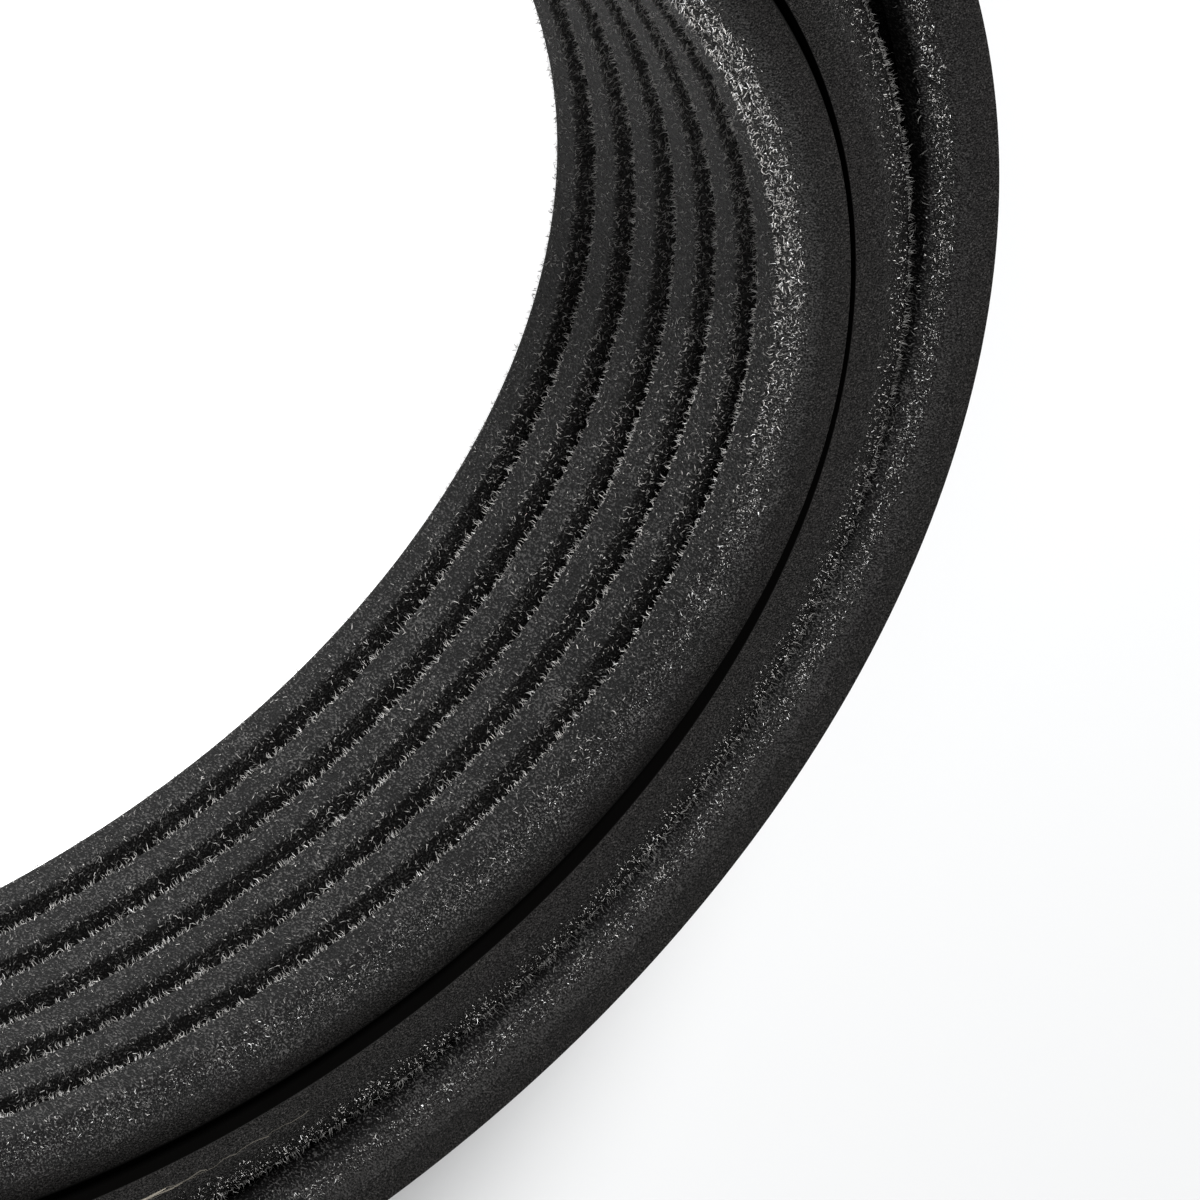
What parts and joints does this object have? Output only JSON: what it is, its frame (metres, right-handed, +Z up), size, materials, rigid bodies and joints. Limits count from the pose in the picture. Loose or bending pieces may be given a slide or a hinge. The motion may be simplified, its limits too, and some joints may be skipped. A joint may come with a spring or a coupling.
{
  "type": "serpentine belt",
  "caption": "Endless ribbed rubber drive belt for engine accessories, folded on itself into nested strands that lie on one cut edge.",
  "frame": {"origin": "middle of the folded belt's footprint, on the surface that its cut edge lies on", "axes": "+Z up, across the belt's width; +X along the longer way of the folded ring, away from its two hairpin bends"},
  "size_m": [0.1282, 0.1054, 0.0214],
  "materials": {
    "black_rubber": "matt black rubber with short fibres on the ground ribs, smooth on the cut edges and the back"
  },
  "bodies": {
    "root": {"ribbed_belt": "black_rubber"}
  },
  "joints": []
}
